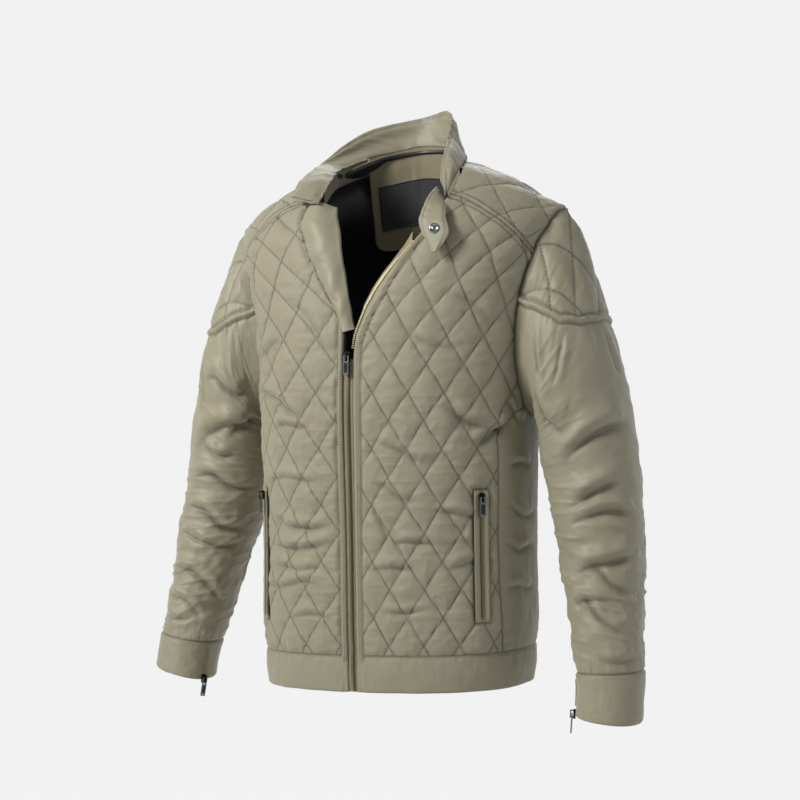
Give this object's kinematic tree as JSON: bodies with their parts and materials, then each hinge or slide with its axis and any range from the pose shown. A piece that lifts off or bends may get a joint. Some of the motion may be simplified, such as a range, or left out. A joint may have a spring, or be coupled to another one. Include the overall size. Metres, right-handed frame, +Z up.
{
  "type": "quilted jacket",
  "caption": "Men's zip jacket with diamond quilted body, smooth sleeves, stand collar with a snap tab and zipped pockets, held open and hollow as if worn.",
  "frame": {"origin": "middle of the neck opening, level with the collar seam on the shoulders, where a neck or hanger holds the jacket up", "axes": "+Z up, the front faces -Y, the wearer's left is +X"},
  "size_m": [0.6518, 0.255, 0.7475],
  "materials": {
    "quilted_cloth": "quilted satin-faced nylon, padded",
    "plain_cloth": "smooth satin-faced nylon with a soft sheen",
    "lining": "black satin lining",
    "label": "woven label, plain",
    "brass_teeth": "satin",
    "polished_metal": "polished",
    "black_enamel": "gloss black enamel"
  },
  "bodies": {
    "jacket": {"front_left": "quilted_cloth", "front_right": "quilted_cloth", "yoke_left": "quilted_cloth", "yoke_right": "quilted_cloth", "back": "quilted_cloth", "sleeve_cap_left": "quilted_cloth", "sleeve_cap_right": "quilted_cloth", "yoke_welt_left": "plain_cloth", "yoke_welt_right": "plain_cloth", "side_left": "plain_cloth", "side_right": "plain_cloth", "hem_left": "plain_cloth", "hem_right": "plain_cloth", "hem_back": "plain_cloth", "sleeve_left": "plain_cloth", "sleeve_right": "plain_cloth", "cap_welt_left": "plain_cloth", "cap_welt_right": "plain_cloth", "cuff_left": "plain_cloth", "cuff_right": "plain_cloth", "band_left": "plain_cloth", "band_right": "plain_cloth", "zip_tape_front": "plain_cloth", "facing_left": "plain_cloth", "roll_right": "plain_cloth", "pocket_welt_left": "plain_cloth", "pocket_welt_right": "plain_cloth", "collar": "plain_cloth", "collar_tab": "plain_cloth", "neck_facing": "plain_cloth", "lining_back": "lining", "neck_label": "label", "zip_teeth_front": "brass_teeth", "zip_teeth_left": "brass_teeth", "pocket_teeth_left": "brass_teeth", "pocket_teeth_right": "brass_teeth", "cuff_teeth_left": "brass_teeth", "cuff_teeth_right": "brass_teeth", "snap_tab": "polished_metal", "snap_collar_end": "polished_metal", "slider_front": "polished_metal", "slider_pocket_left": "polished_metal", "slider_pocket_right": "polished_metal", "slider_cuff_left": "polished_metal", "slider_cuff_right": "polished_metal"},
    "pull_tab_front": {"pull_front": "polished_metal", "pull_enamel_front": "black_enamel"},
    "pull_tab_pocket_left": {"pull_pocket_left": "polished_metal", "pull_enamel_pocket_left": "black_enamel"},
    "pull_tab_pocket_right": {"pull_pocket_right": "polished_metal", "pull_enamel_pocket_right": "black_enamel"},
    "pull_tab_cuff_left": {"pull_cuff_left": "polished_metal", "pull_enamel_cuff_left": "black_enamel"},
    "pull_tab_cuff_right": {"pull_cuff_right": "polished_metal", "pull_enamel_cuff_right": "black_enamel"}
  },
  "joints": [
    {"name": "pull_swing_front", "type": "hinge", "parent": "jacket", "child": "pull_tab_front", "pos_m": [-0.00383, -0.12718, -0.23954], "axis": [1, -0.0018, 0.0018], "range_deg": [-165, 0]},
    {"name": "pull_swing_pocket_left", "type": "hinge", "parent": "jacket", "child": "pull_tab_pocket_left", "pos_m": [0.15092, -0.08143, -0.40339], "axis": [0.698, 0.7159, 0.0187], "range_deg": [-165, 0]},
    {"name": "pull_swing_pocket_right", "type": "hinge", "parent": "jacket", "child": "pull_tab_pocket_right", "pos_m": [-0.15092, -0.08144, -0.40642], "axis": [0.6984, -0.7155, -0.0177], "range_deg": [-165, 0]},
    {"name": "pull_swing_cuff_left", "type": "hinge", "parent": "jacket", "child": "pull_tab_cuff_left", "pos_m": [0.25028, -0.05729, -0.64621], "axis": [0.2489, -0.9417, 0.2264], "range_deg": [-165, 0]},
    {"name": "pull_swing_cuff_right", "type": "hinge", "parent": "jacket", "child": "pull_tab_cuff_right", "pos_m": [-0.25028, -0.05729, -0.64473], "axis": [0.2487, 0.9402, -0.2328], "range_deg": [-165, 0]}
  ]
}
